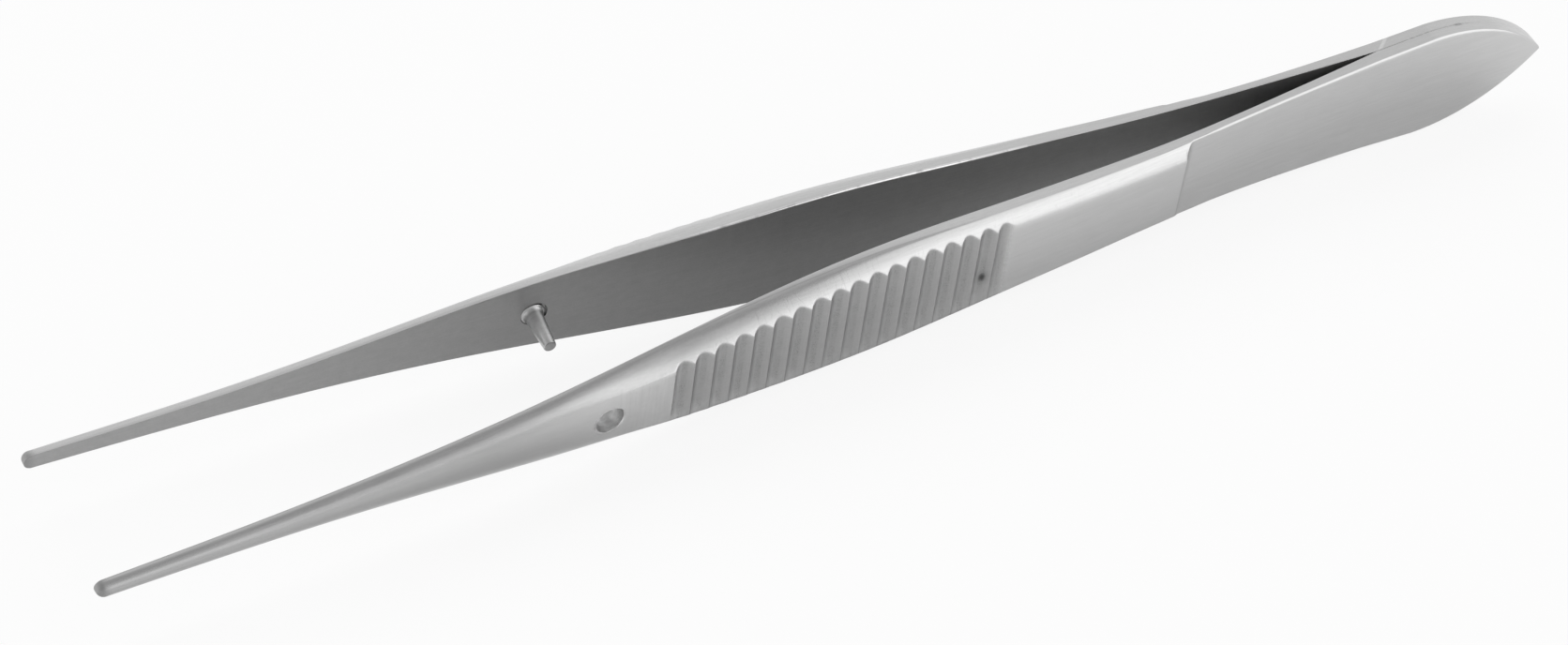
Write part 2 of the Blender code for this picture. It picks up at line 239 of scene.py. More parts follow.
width_curve = smooth_curve(((TAIL_WIDEST, TAIL_HALF_WIDTH), SPRING_MIDDLE[:2]) + column(1))
bow_curve = smooth_curve(((WELD_END, 0.0), SPRING_MIDDLE[::2]) + column(2))
thickness_curve = smooth_curve(column(3))
side_curve = smooth_curve(column(4))
bulge_curve = smooth_curve(column(5))
spring_curve = smooth_curve(
    (
        (WELD_END, WELD_THICKNESS),
        (SHOULDER - (SHOULDER - WELD_END) / 3, SPRING_THICKNESS),
        (SHOULDER, SPRING_END_THICKNESS),
    )
)


def ease(value, start, end):
    share = min(max((value - start) / (end - start), 0.0), 1.0)
    return share * share * (3 - 2 * share)


def lower_of(first, second, blend):
    """The smaller of two heights, with a rounded corner where they cross."""
    near = np.maximum(blend - np.abs(first - second), 0.0)
    return np.minimum(first, second) - near * near / (4 * blend)


def inner_offset(station):
    return bow_curve(station) if station > WELD_END else 0.0


def tail_arc(station):
    rise = TAIL_HALF_WIDTH - NOSE_HALF_WIDTH
    chord = math.hypot(TAIL_WIDEST, rise)
    sink = math.sqrt(TAIL_ARC_RADIUS**2 - chord**2 / 4)
    centre_x = TAIL_WIDEST / 2 + sink * rise / chord
    centre_z = NOSE_HALF_WIDTH + rise / 2 - sink * TAIL_WIDEST / chord
    return centre_z + math.sqrt(TAIL_ARC_RADIUS**2 - (station - centre_x) ** 2)


def tip_share(station):
    run = (station - (TIP - SECTIONS[-1][1])) / SECTIONS[-1][1]
    if run <= 0.0:
        return 1.0
    return TIP_END_SHARE + (1 - TIP_END_SHARE) * math.sqrt(max(1 - run * run, 0.0))


def end_inset(station):
    """How far the section draws in where the nose of the tail is rounded off."""
    left = max(NOSE_ROUND - station, 0.0)
    return NOSE_ROUND - math.sqrt(NOSE_ROUND**2 - left**2)


def half_width(station):
    if station < TAIL_WIDEST:
        return tail_arc(station) - end_inset(station)
    return width_curve(station) * tip_share(station)


def thickness(station):
    rounded_off = TIP_END_THICKNESS + (1 - TIP_END_THICKNESS) * tip_share(station)
    return thickness_curve(max(station, SHOULDER)) * rounded_off


def shoulder_run():
    rise = thickness(SHOULDER) - SPRING_END_THICKNESS
    return math.sqrt(SHOULDER_RADIUS**2 - (SHOULDER_RADIUS - rise) ** 2)


def outer_height(station):
    if station < WELD_END:
        growth = (WELD_THICKNESS - NOSE_THICKNESS) * station / WELD_END
        return NOSE_THICKNESS + growth - end_inset(station)
    if station < SHOULDER:
        run = max(station - (SHOULDER - shoulder_run()), 0.0)
        return spring_curve(station) + SHOULDER_RADIUS - math.sqrt(SHOULDER_RADIUS**2 - run**2)
    return thickness(station)


def side_height(station):
    handle = SECTIONS[0][0]
    full = side_curve(max(station, handle)) * tip_share(station)
    if station >= handle:
        return full
    bevel = min(TAIL_EDGE_BEVEL, half_width(station) / 2)
    tail = outer_height(min(station, SHOULDER - shoulder_run())) - bevel
    ramp = tail + (full - tail) * ease(station, handle - SIDE_RAMP, handle)
    return min(ramp, outer_height(station) - bevel / 2)


def groove_depth(station):
    """Depth of the grip's round grooves under the facet."""
    if not GRIP_START < station < GRIP_END:
        return 0.0
    run = (station - GRIP_START) % GROOVE_PITCH
    floor = GROOVE_PITCH - GROOVE_STEEP_RUN
    deepest = GROOVE_DEPTH * (FIRST_GROOVE_SHARE if station < GRIP_START + GROOVE_PITCH else 1.0)
    if run < floor:
        share = max(run - RIDGE_WIDTH, 0.0) / (floor - RIDGE_WIDTH)
        return deepest * math.sin(math.pi / 2 * share) ** GENTLE_POWER
    share = (GROOVE_PITCH - run) / GROOVE_STEEP_RUN
    return deepest * math.sin(math.pi / 2 * share) ** STEEP_POWER


def inner_round(station, side, edge):
    """Radius of the edge between the inner face and the side face, worn on the far arm's top edge."""
    if side < 0 < edge:
        worn = ease(station, WORN_START, WORN_START + WORN_FADE)
        worn *= 1 - ease(station, WORN_END - WORN_FADE, WORN_END)
        if worn > 0.0:
            return INNER_ROUND + (WORN_ROUND - INNER_ROUND) * worn
    if station < SEAM_START:
        return TIGHT_ROUND
    if station < WELD_END:
        return TIGHT_ROUND + (SEAM_ROUND - TIGHT_ROUND) * ease(station, SEAM_START, SEAM_START + 2 * MM)
    return SEAM_ROUND + (INNER_ROUND - SEAM_ROUND) * ease(station, WELD_END, WELD_END + 2 * MM)


def half_section(station, side, edge):
    """(height, width) points from the middle of the inner face round to the middle of the back.

    edge is 1 for the upper half and -1 for the lower one, where the grooves run out sooner."""
    width = half_width(station)
    top = thickness(station)
    shelf = side_height(station)
    corner = min(inner_round(station, side, edge), 0.25 * width, 0.25 * shelf)
    support = EDGE_SUPPORT * corner
    inner = [(0.0, (width - corner - support) * i / INNER_POINTS) for i in range(INNER_POINTS + 1)]
    for i in range(CORNER_POINTS + 1):
        turn = math.pi / 2 * i / CORNER_POINTS
        inner.append((corner * (1 - math.cos(turn)), width - corner * (1 - math.sin(turn))))
    inner.append((corner + support, width))
    lead = min(CHAMFER_LEAD, 0.45 * (shelf - corner - support))
    chamfer = min(CHAMFER_WIDTH, 0.75 * width)
    below = -lead * np.arange(LEAD_POINTS, 0, -1) / LEAD_POINTS
    slope = (top - shelf) / CHAMFER_WIDTH
    inward = np.linspace(0.0, chamfer, CHAMFER_POINTS + 1)
    inward = np.concatenate([inward, np.linspace(chamfer, width, BACK_POINTS + 1)[1:]])
    along = np.minimum(inward / CHAMFER_WIDTH, 1.0)
    bow = bulge_curve(max(station, SHOULDER)) * 4 * along * (1 - along)
    bulge = bow / math.hypot(top - shelf, CHAMFER_WIDTH)
    line = shelf + slope * inward + bulge * CHAMFER_WIDTH
    flat_heights = np.concatenate([shelf + below, lower_of(line, top, EDGE_ROUND)])
    flat_widths = np.concatenate([width - below / slope, width - inward + bulge * (top - shelf)])
    share = np.linspace(0.0, CORNER_SHARE, CHAMFER_POINTS + 1)
    share = np.concatenate([share, np.linspace(CORNER_SHARE, 1.0, BACK_POINTS + 1)[1:]])
    round_heights = shelf + (top - shelf) * np.sin(share * math.pi / 2) ** (2 / BACK_POWER)
    round_widths = width * np.abs(np.cos(share * math.pi / 2)) ** (2 / BACK_POWER)
    round_heights = np.concatenate([shelf + below, round_heights])
    round_widths = np.concatenate([np.full(LEAD_POINTS, width), round_widths])
    round_part = ease(station, ROUNDING_START, ROUNDING_END)
    heights = flat_heights * (1 - round_part) + round_heights * round_part
    widths = flat_widths * (1 - round_part) + round_widths * round_part
    side_round = EDGE_ROUND * (1 - round_part) + TIGHT_ROUND * round_part
    widths = lower_of(widths, width, min(side_round, 0.3 * width))
    depth = groove_depth(station)
    if station < SHOULDER:
        heights = lower_of(heights, outer_height(station), EDGE_ROUND)
    elif depth > 0.0:
        if edge < 0:
            facet = width - CHAMFER_WIDTH
            share = np.clip((widths - facet + GROOVE_FADE) / GROOVE_FADE_REACH, 0.0, 1.0)
            depth = depth * (1 - GROOVE_FADE_SHARE * share * share * (3 - 2 * share))
        shallow = 1 - np.minimum(depth / RIDGE_BLEND, 1.0)
        heights = lower_of(heights, top - depth + EDGE_ROUND * shallow, EDGE_ROUND)
    widths[-1] = 0.0
    return inner + list(zip(heights.tolist(), widths.tolist()))


def spread(start, end, count):
    """Stations after the start, evenly spaced up to the end."""
    return list(np.linspace(start, end, count + 1)[1:])


def stations():
    """Stations of an arm's rings, close together where the form turns quickly."""
    hollow = SHOULDER - shoulder_run()
    rounding = TIP - SECTIONS[-1][1]
    zones = [
        (1.5 * MM, 14),
        (TAIL_WIDEST, 36),
        (WELD_END - 0.3 * MM, 16),
        (WELD_END + 0.6 * MM, 9),
        (hollow - 3 * MM, 22),
        (hollow, 16),
        (SHOULDER, 34),
        (SHOULDER + 2 * MM, 14),
        (GRIP_START, 28),
    ]
    for groove in range(GROOVE_COUNT):
        start = GRIP_START + groove * GROOVE_PITCH
        zones += [(start + share * GROOVE_PITCH, rings) for share, rings in GROOVE_RINGS]
    zones += [(GUIDE + 3 * MM, 56), (rounding, 100)]
    found = list(NOSE_ROUND * (1 - np.cos(np.linspace(0.0, math.pi / 2, NOSE_RINGS))))
    start = NOSE_ROUND
    for end, rings in zones:
        found += spread(start, end, rings)
        start = end
    found += list(rounding + SECTIONS[-1][1] * np.sin(np.linspace(0.0, math.pi / 2, TIP_RINGS)[1:]))
    return found


def on_arm(station, side, height, across):
    """A point of an arm from its station, its height over the inner face and its place across."""
    return Vector((station - TIP / 2, side * (inner_offset(station) + height), MIDDLE_HEIGHT + across))


def make_piece(name, shape):
    """An object with the shape's mesh, at the origin."""
    mesh = bpy.data.meshes.new(name)
    shape.to_mesh(mesh)
    shape.free()
    piece = bpy.data.objects.new(name, mesh)
    bpy.context.scene.collection.objects.link(piece)
    return piece


def loft_arm(name, side):
    """An arm drawn out ring by ring from a grid whose first and last columns are joined."""
    rings = []
    for station in stations():
        loop = half_section(station, side, 1)
        loop += [(height, -width) for height, width in reversed(half_section(station, side, -1)[1:-1])]
        rings.append([on_arm(station, side, height, width) for height, width in loop + loop[:1]])
    shape = bmesh.new()
    around = len(rings[0])
    bmesh.ops.create_grid(shape, x_segments=around - 1, y_segments=len(rings) - 1, size=1.0)
    shape.verts.ensure_lookup_table()
    verts = list(shape.verts)
    for row, ring in enumerate(rings):
        for place, point in enumerate(ring):
            verts[row * around + place].co = point
    seam = {verts[row * around + around - 1]: verts[row * around] for row in range(len(rings))}
    bmesh.ops.weld_verts(shape, targetmap=seam)
    ends = [edge for edge in shape.edges if edge.is_boundary]
    bmesh.ops.holes_fill(shape, edges=ends, sides=0)
    bmesh.ops.recalc_face_normals(shape, faces=shape.faces)
    return make_piece(name, shape)


def guide_axis(station, side):
    """A point on an arm's inner face at the station, and the direction that stands off that face."""
    step = 0.5 * MM
    slope = (inner_offset(station + step) - inner_offset(station - step)) / (2 * step)
    return on_arm(station, side, 0.0, 0.0), Vector((slope, -side, 0.0)).normalized()


def turn(name, profile, middle, direction):
    """A round piece from (radius, height) points, with its own axis on the direction."""
    shape = bmesh.new()
    path = [shape.verts.new((0.0, 0.0, profile[0][1]))]
    path += [shape.verts.new((radius, 0.0, height)) for radius, height in profile]
    path += [shape.verts.new((0.0, 0.0, profile[-1][1]))]
    edges = [shape.edges.new(pair) for pair in zip(path, path[1:])]
    bmesh.ops.spin(
        shape,
        geom=path + edges,
        cent=(0.0, 0.0, 0.0),
        axis=(0.0, 0.0, 1.0),
        angle=2 * math.pi,
        steps=ROUND_SIDES,
        use_merge=True,
    )
    bmesh.ops.remove_doubles(shape, verts=shape.verts, dist=MERGE_DISTANCE)
    place = Matrix.Translation(middle) @ direction.to_track_quat("Z", "Y").to_matrix().to_4x4()
    bmesh.ops.transform(shape, matrix=place, verts=shape.verts)
    bmesh.ops.recalc_face_normals(shape, faces=shape.faces)
    return make_piece(name, shape)


def cut_away(piece, cutter):
    """Takes the cutter's shape out of the piece and removes the cutter."""
    cut = piece.modifiers.new("cut", "BOOLEAN")
    cut.operation = "DIFFERENCE"
    cut.solver = "EXACT"
    cut.object = cutter
    bpy.context.view_layer.update()
    result = bpy.data.meshes.new_from_object(piece.evaluated_get(bpy.context.evaluated_depsgraph_get()))
    piece.modifiers.clear()
    plain = piece.data
    piece.data = result
    result.name = piece.name
    bpy.data.meshes.remove(plain)
    bpy.data.objects.remove(cutter, do_unlink=True)


def drill_guide_hole(arm):
    """The hole through the near arm, with its edges broken on both faces."""
    middle, inward = guide_axis(GUIDE, 1)
    radius = GUIDE_HOLE_DIAMETER / 2
    back = thickness(GUIDE)
    reach = 2 * back
    profile = [
        (radius + reach - back + HOLE_LIP, -reach),
        (radius, HOLE_LIP - back),
        (radius, -HOLE_LIP / 2),
        (radius + reach + HOLE_LIP / 2, reach),
    ]
    cut_away(arm, turn("guide_hole_drill", profile, middle, inward))


def cut_pin_seat(arm):
    """The shallow seat round the pin's root and the smaller hole for its shank, on one axis."""
    middle, inward = guide_axis(GUIDE + PIN_LEAD, -1)
    reach = 2 * thickness(GUIDE)
    shank = PIN_SHANK_DIAMETER / 2 + PIN_SHANK_CLEARANCE
    seat = SEAT_DIAMETER / 2
    profile = [
        (shank, -reach),
        (shank, -SEAT_DEPTH),
        (seat, -SEAT_DEPTH),
        (seat, -SEAT_LIP),
        (seat + reach + SEAT_LIP, reach),
    ]
    cut_away(arm, turn("pin_seat_drill", profile, middle - Vector((SEAT_SHIFT, 0.0, 0.0)), inward))


def rounded(profile, radius, steps):
    """The profile with each inner corner turned into a small arc of short straight runs."""
    points = [Vector(point) for point in profile]
    found = [profile[0]]
    for before, here, after in zip(points, points[1:], points[2:]):
        reach = min(radius, (here - before).length / 2.2, (after - here).length / 2.2)
        start = here + (before - here).normalized() * reach
        end = here + (after - here).normalized() * reach
        for i in range(steps + 1):
            share = i / steps
            point = start * (1 - share) ** 2 + here * 2 * share * (1 - share) + end * share**2
            found.append((point.x, point.y))
    return found + [profile[-1]]


def turn_guide_pin():
    """The tapered pin with its flared root, flat end and thinner shank."""
    middle, inward = guide_axis(GUIDE + PIN_LEAD, -1)
    foot = PIN_DIAMETER / 2
    root = PIN_ROOT_DIAMETER / 2
    end = PIN_END_DIAMETER / 2
    shank = PIN_SHANK_DIAMETER / 2
    profile = [
        (shank, PIN_SHANK_SETBACK - thickness(GUIDE)),
        (shank, -SEAT_DEPTH),
        (root, -SEAT_DEPTH),
        (root, 0.0),
        (foot + (root - foot) / 3, PIN_ROOT_HEIGHT / 3),
        (foot, PIN_ROOT_HEIGHT),
        (end, PIN_PROJECTION),
        (PIN_END_CORE, PIN_PROJECTION),
    ]
    return turn("turned_guide_pin", rounded(profile, PIN_EDGE_ROUND, PIN_EDGE_POINTS), middle, inward)


class Wire:
    """A socket's value, on which sums and products add their Math nodes."""

    def __init__(self, finish, socket):
        self.finish = finish
        self.socket = socket

    def __add__(self, other):
        return self.finish.maths("ADD", self, other)

    def __sub__(self, other):
        return self.finish.maths("SUBTRACT", self, other)

    def __mul__(self, other):
        return self.finish.maths("MULTIPLY", self, other)

    def __truediv__(self, other):
        return self.finish.maths("DIVIDE", self, other)

    def __rsub__(self, other):
        return self.finish.maths("SUBTRACT", other, self)

    __radd__ = __add__
    __rmul__ = __mul__


class Finish:
    """The nodes of one material, or of the room's light."""

    def __init__(self, name):
        self.material = bpy.data.materials.new(name)
        self.material.use_nodes = True
        self.tree = self.material.node_tree
        self.shader = self.tree.nodes["Principled BSDF"]

    @classmethod
    def on_tree(cls, tree):
        finish = cls.__new__(cls)
        finish.tree = tree
        return finish

    def feed(self, socket, value):
        if isinstance(value, Wire):
            self.tree.links.new(value.socket, socket)
        else:
            socket.default_value = value

    def add(self, kind, settings=None, sockets=None, output=0):
        """A node of a type, its settings first and then the values or links of its sockets."""
        node = self.tree.nodes.new(kind)
        for name, value in (settings or {}).items():
            setattr(node, name, value)
        for name, value in (sockets or {}).items():
            self.feed(node.inputs[name], value)
        return Wire(self, node.outputs[output])

    def maths(self, operation, first, second=0.0):
        return self.add("ShaderNodeMath", {"operation": operation}, {0: first, 1: second})

    def rise(self, value, low, high):
        """0 below low, 1 above high, and a smooth rise between."""
        return self.add(
            "ShaderNodeMapRange",
            {"interpolation_type": "SMOOTHSTEP"},
            {"Value": value, "From Min": low, "From Max": high},
        )

    def band(self, value, low, high, soft):
        """1 between low and high, fading over soft on both sides."""
        return self.rise(value, low - soft, low) * (1 - self.rise(value, high, high + soft))

    def point(self, x, y, z):
        return self.add("ShaderNodeCombineXYZ", None, {"X": x, "Y": y, "Z": z})

    def noise(self, vector, scale, detail=2.0, roughness=0.5):
        sockets = {"Vector": vector, "Scale": scale, "Detail": detail, "Roughness": roughness}
        return self.add("ShaderNodeTexNoise", {"noise_dimensions": "3D"}, sockets)

    def millimetres(self):
        """Object coordinates in millimetres, as (x, y, z)."""
        place = self.add("ShaderNodeTexCoord", output="Object")
        scaled = self.add("ShaderNodeVectorMath", {"operation": "SCALE"}, {0: place, "Scale": 1 / MM})
        return tuple(self.add("ShaderNodeSeparateXYZ", None, {0: scaled}, axis) for axis in "XYZ")

    def reading(self, name):
        """A number that the mesh carries at each of its points."""
        return self.add("ShaderNodeAttribute", {"attribute_name": name}, output="Fac")

    def grey(self, value):
        """A steel grey of the given brightness."""
        return self.add("ShaderNodeCombineColor", None, {"Red": value, "Green": value, "Blue": value})

    def bumps(self, height, distance):
        sockets = {"Height": height, "Distance": distance, "Strength": 1.0}
        return self.add("ShaderNodeBump", None, sockets)


class ArmSteel(Finish):
    """Satin steel of an arm. Marks, wear, painted shade and painted light change its brightness,
    roughness and surface height.
    """

    def __init__(self, name):
        super().__init__(name)
        self.x, self.y, self.z = self.millimetres()
        self.station = self.x + TIP / 2 / MM
        self.across = self.z - MIDDLE_HEIGHT / MM
        self.level = self.reading("level")
        self.inward = self.reading("inward")
        self.grip = self.reading("grip")
        self.outer = self.rise(self.level, 0.02, 0.06)
        on_side = 1 - self.rise(self.inward, 0.01, 0.08)
        self.top_edge = on_side * self.rise(self.across, 0.0, 0.1) * self.outer
        self.brightness = STEEL_BRIGHTNESS
        self.roughness = STEEL_ROUGHNESS
        self.height = 0.0

    def stretched(self, along, around, detail=2.0, roughness=0.6):
        """Noise with its own fineness along the arm and round its section."""
        place = self.point(self.x * along, self.level * around, self.z * around)
        return self.noise(place, 1.0, detail, roughness)

    def hairlines(self, along, around, thin, detail=2.0):
        """Thin wandering lines, 1 on a line."""
        wander = self.maths("ABSOLUTE", self.stretched(along, around, detail) - 0.5)
        return 1 - self.rise(wander, 0.0, thin)

    def spot(self, station, across, core, edge, stretch=1.0):
        """1 within the core's radius of a place on the outer face, fading to 0 at the edge.

        A stretch makes the spot longer across the arm."""
        run = self.station - station
        side = (self.across - across) * (1 / stretch)
        distance = self.maths("SQRT", run * run + side * side)
        return (1 - self.rise(distance, core, edge)) * self.outer

    def hole_wall(self, station, diameter):
        """1 inside a round hole of the guide, and just over its lip."""
        radius = diameter / 2 / MM
        return self.spot(station / MM, 0.0, radius + 0.02, radius + 0.10)

    def darken(self, mask, share):
        self.brightness = self.brightness * (1 - mask * share)

    def lighten(self, mask, share):
        self.brightness = self.brightness * (1 + mask * share)

    def roughen(self, mask, amount):
        self.roughness = self.roughness + mask * amount

    def raise_by(self, mask, micrometres):
        self.height = self.height + mask * micrometres

    def metal(self):
        self.feed(self.shader.inputs["Base Color"], self.grey(self.brightness))
        self.feed(self.shader.inputs["Roughness"], self.roughness)
        self.feed(self.shader.inputs["Normal"], self.bumps(self.height, 0.001 * MM))
        self.shader.inputs["Metallic"].default_value = 1.0
        return self.material


def brush_lengthwise(steel):
    """The grain of the belt that all the outer faces were brushed with, and its light haze."""
    streaks = steel.stretched(0.12, 5.0, 3.0) - 0.5
    grain = steel.stretched(0.45, 24.0) - 0.5
    haze = steel.stretched(0.5, 0.6, 2.0) - 0.5
    steel.brightness = steel.brightness + streaks * 0.10 + grain * 0.12 + haze * 0.04
    steel.roughen(streaks, 0.06)
    steel.roughen(haze, 0.05)
    steel.raise_by(grain, 1.6)
    steel.darken(steel.hairlines(0.10, 2.6, 0.008) * steel.outer, 0.025)


def dull_and_shaded_inner_face(steel):
    """The inner faces are unbrushed: dull and faintly mottled. They are darker partly for that finish
    and partly as painted shade, and painted light makes them lighter towards the tail.
    """
    inner = 1 - steel.rise(steel.level, 0.008, 0.03)
    mottle = steel.stretched(1.1, 1.6, 4.0, 0.7) - 0.5
    specks = steel.stretched(7.0, 9.0, 2.0) - 0.5
    # Painted shade darkens the inner faces along with their dull finish, and painted light lightens them
    # towards the tail
    steel.darken(inner, INNER_FACE_DULL_AND_SHADE)
    steel.lighten(inner * (1 - steel.rise(steel.station, *LIGHTER_TAIL)), INNER_TAIL_PAINTED_LIGHT)
    steel.brightness = steel.brightness + inner * (mottle * 0.10 + specks * 0.08)
    steel.roughen(inner, 0.20)
    steel.raise_by(inner * specks, 4.0)


def shade_shank_and_tip_ends(steel):
    """Painted shade: the back of the shank is a little darker towards the tips, and the tips' ends are
    darker too. The ends are also duller.
    """
    back = steel.outer * steel.rise(steel.inward, 0.0, 0.35)
    # Painted shade on the back of the shank towards the tips and on the tips' ends
    steel.darken(steel.rise(steel.station, *SHANK_SHADE_RUN) * back, SHANK_SHADE_DARK)
    end = steel.rise(steel.station, *TIP_END)
    steel.darken(end * steel.outer, TIP_END_DARK)
    steel.roughen(end, 0.30)


def shade_shoulder(steel):
    """Painted shade: a dark line along the foot of the shoulder's step, with a faint darker haze beside
    it.
    """
    foot = SHOULDER / MM
    line = steel.band(steel.station, foot - 0.26, foot - 0.05, 0.14)
    haze = steel.band(steel.station, foot - 0.5, foot - 0.1, 0.4)
    outside = steel.rise(steel.level, 0.45, 0.6) * steel.rise(steel.inward, 0.25, 0.9)
    # Painted shade at the foot of the shoulder's step
    steel.darken(line * outside, SHOULDER_LINE_DARK)
    steel.darken(haze * outside, 0.07)


def mill_grip(steel):
    """Rougher milled grooves with pits along each floor. The grip is darker partly for its finish and
    partly as painted shade, its lower part is lighter as painted light, and a painted shade line runs
    along each steep wall.
    """
    turns = (steel.station - GRIP_START / MM) / (GROOVE_PITCH / MM)
    phase = steel.maths("FRACT", turns)
    mill = steel.stretched(15.0, 1.6, 3.0) - 0.5
    upper = steel.rise(steel.across, -4.4, -3.0)
    last = steel.rise(turns, GROOVE_COUNT - 1.0, GROOVE_COUNT - 0.8)
    wall = steel.band(phase, *WALL_SHADE_PLACE, 0.03) * upper * (1 - last * 0.7)
    ridge = steel.rise(phase, 0.97, 1.0) + 1 - steel.rise(phase, 0.04, 0.24)
    patches = steel.rise(steel.stretched(0.7, 0.5), 0.30, 0.56)
    floor = steel.band(phase, *FLOOR_PITS, 0.12)
    pitted = steel.rise(steel.stretched(16.0, 9.0, 1.0), 0.42, 0.74)
    # The grip is darker partly for its rougher finish and partly as painted shade; its lower part gets
    # painted light
    steel.darken(steel.grip, GRIP_DARK)
    steel.lighten(steel.grip * (1 - steel.rise(steel.across, -3.2, 0.6)), GRIP_LOWER_PAINTED_LIGHT)
    steel.brightness = steel.brightness + steel.grip * (mill * 0.06 + ridge * 0.02)
    # Painted shade in the crease at each steep wall
    steel.darken(steel.grip * wall, WALL_SHADE_DARK)
    steel.darken(steel.grip * floor, 0.06)
    steel.darken(steel.grip * floor * patches * pitted, FLOOR_PITS_DARK)
    steel.roughen(steel.grip, 0.13)
    steel.raise_by(steel.grip * mill, 5.0)
    steel.raise_by(steel.grip * floor * patches * pitted, -4.0)


def scratch_chamfer(steel):
    """Fine scratches across the ground chamfers beside the grip."""
    chamfer = steel.band(steel.inward, 0.10, 0.95, 0.05) * steel.rise(steel.level, 0.3, 0.5)
    chamfer = chamfer * (1 - steel.grip)
    beside = steel.band(steel.station, *BESIDE_GRIP, 4.0)
    crossing = steel.hairlines(3.0, 0.30, 0.014, 0.0)
    steel.darken(crossing * chamfer * beside, 0.05)
    steel.raise_by(crossing * chamfer * beside, -1.0)


def mark_seam(steel):
    """The welded seam on top of the tail: a faint broken dark line with a small pit in it."""
    off_seam = steel.maths("ABSOLUTE", steel.y)
    broken = steel.rise(steel.stretched(1.6, 0.0), 0.38, 0.55)
    on_top = steel.rise(steel.across, 1.0, 1.1)
    seam = (1 - steel.rise(off_seam, 0.02, 0.09)) * steel.band(steel.station, *SEAM, 0.5) * broken
    pit = (1 - steel.rise(off_seam, 0.03, 0.20)) * steel.band(steel.station, *SEAM_PIT, 0.3)
    steel.darken(seam * on_top, 0.16)
    steel.darken(pit * on_top, 0.30)


def brushed_arm_steel(name):
    """The finish that both arms share."""
    steel = ArmSteel(name)
    brush_lengthwise(steel)
    dull_and_shaded_inner_face(steel)
    shade_shank_and_tip_ends(steel)
    mill_grip(steel)
    scratch_chamfer(steel)
    mark_seam(steel)
    shade_shoulder(steel)
    return steel


def near_arm_steel():
    """The near arm's tool marks beside the grip, the round pit in it, and the guide hole's wall."""
    steel = brushed_arm_steel("near_arm_steel")
    tooled = steel.band(steel.station, *TOOL_MARKS, 0.7) * steel.rise(steel.inward, 0.6, 1.1)
    tooled = tooled * steel.outer
    marks = steel.stretched(5.5, 0.35) - 0.5
    steel.brightness = steel.brightness + tooled * marks * 0.15
    steel.raise_by(tooled * marks, 4.0)
    steel.darken(steel.spot(*ROUND_PIT, 0.06, 0.34, 1.7), PIT_CORE_DARK)
    steel.darken(steel.spot(*ROUND_PIT, 0.10, 0.70, 1.6), PIT_RIM_DARK)
    steel.raise_by(steel.spot(*ROUND_PIT, 0.04, 0.24, 1.7), -30.0)
    bore = steel.hole_wall(GUIDE, GUIDE_HOLE_DIAMETER)
    drilled = steel.noise(steel.point(steel.x * 0.8, steel.y * 16, steel.z * 0.8), 1.0) - 0.5
    blotches = steel.noise(steel.point(steel.x * 1.5, steel.y * 1.5, steel.z * 1.5), 1.0, 3.0, 0.6) - 0.5
    steel.brightness = steel.brightness + bore * (drilled * 0.20 + blotches * 0.75)
    steel.roughen(bore, 0.18)
    return steel.metal()


def far_arm_steel():
    """The far arm's rubbed top edge, painted shade in the seat of its pin, and the nick beside the
    crotch with a painted highlight on it.
    """
    steel = brushed_arm_steel("far_arm_steel")
    rubbed = steel.rise(steel.stretched(0.8, 0.0, 3.0), 0.36, 0.50)
    run = steel.band(steel.station, WORN_START / MM, WORN_END / MM, 3.0)
    edge = (1 - steel.rise(steel.inward, 0.06, 0.16)) * (1 - steel.rise(steel.level, 0.10, 0.24))
    steel.lighten(edge * run * rubbed * steel.rise(steel.across, 1.0, 1.1), WORN_EDGE_LIGHT)
    # Painted shade in the pin's seat round its root
    seat = steel.hole_wall(GUIDE + PIN_LEAD - SEAT_SHIFT, SEAT_DIAMETER)
    steel.darken(seat * (1 - steel.rise(steel.level, 0.4, 0.5)), SEAT_SHADE_DARK)
    # A raised nick beside the crotch, lightened as a painted highlight
    nick_glint = steel.band(steel.station + steel.level * 1.2, *NICK_GLINT, 0.16) * steel.top_edge
    steel.lighten(nick_glint, 0.20)
    steel.raise_by(nick_glint, 8.0)
    return steel.metal()


def turned_steel(name):
    """Bright steel with the lathe's fine rings, and painted shade on the pin's flat end and at its root.
    """
    finish = Finish(name)
    x, y, z = finish.millimetres()
    rings = finish.noise(finish.point(x * 0.6, y * 12, z * 0.6), 1.0, 3.0, 0.6) - 0.5
    patches = finish.noise(finish.point(x * 2.6, y * 1.8, z * 2.6), 1.0, 3.0, 0.6) - 0.5
    flat_end = finish.rise(y, PIN_FACE / MM - 0.06, PIN_FACE / MM)
    root = 1 - finish.rise(y, PIN_ROOT_FACE / MM, PIN_ROOT_FACE / MM + 0.20)
    # Painted shade on the pin's flat end and at its root
    brightness = PIN_BRIGHTNESS + rings * 0.16 + patches * 0.34
    brightness = brightness * (1 - flat_end * 0.40) * (1 - root * 0.14)
    finish.feed(finish.shader.inputs["Base Color"], finish.grey(brightness))
    finish.feed(finish.shader.inputs["Roughness"], PIN_ROUGHNESS + rings * 0.10)
    finish.feed(finish.shader.inputs["Normal"], finish.bumps(rings, 0.006 * MM))
    finish.shader.inputs["Metallic"].default_value = 1.0
    return finish.material


